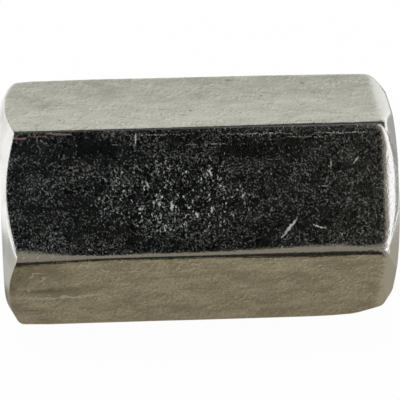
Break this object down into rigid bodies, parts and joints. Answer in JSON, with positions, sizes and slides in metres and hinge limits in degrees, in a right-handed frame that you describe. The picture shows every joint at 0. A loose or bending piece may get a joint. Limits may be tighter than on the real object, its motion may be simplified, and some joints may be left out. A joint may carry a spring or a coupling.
{
  "type": "coupling nut",
  "caption": "Long hexagonal coupling nut, threaded right through with a countersink at each end, chamfered at the ends, lying on one flat.",
  "frame": {"origin": "centre of the threaded bore, midway between the two end faces", "axes": "+X along the bore from the turned end to the worn end, +Z out of the upper flat, with the nut lying on the flat that faces -Z"},
  "size_m": [0.018, 0.0114, 0.01],
  "materials": {
    "steel": "drawn bright steel flats with fine lengthwise scratches and pits, turned chamfers and a tapped bore"
  },
  "bodies": {
    "root": {"coupling_nut": "steel"}
  },
  "joints": []
}
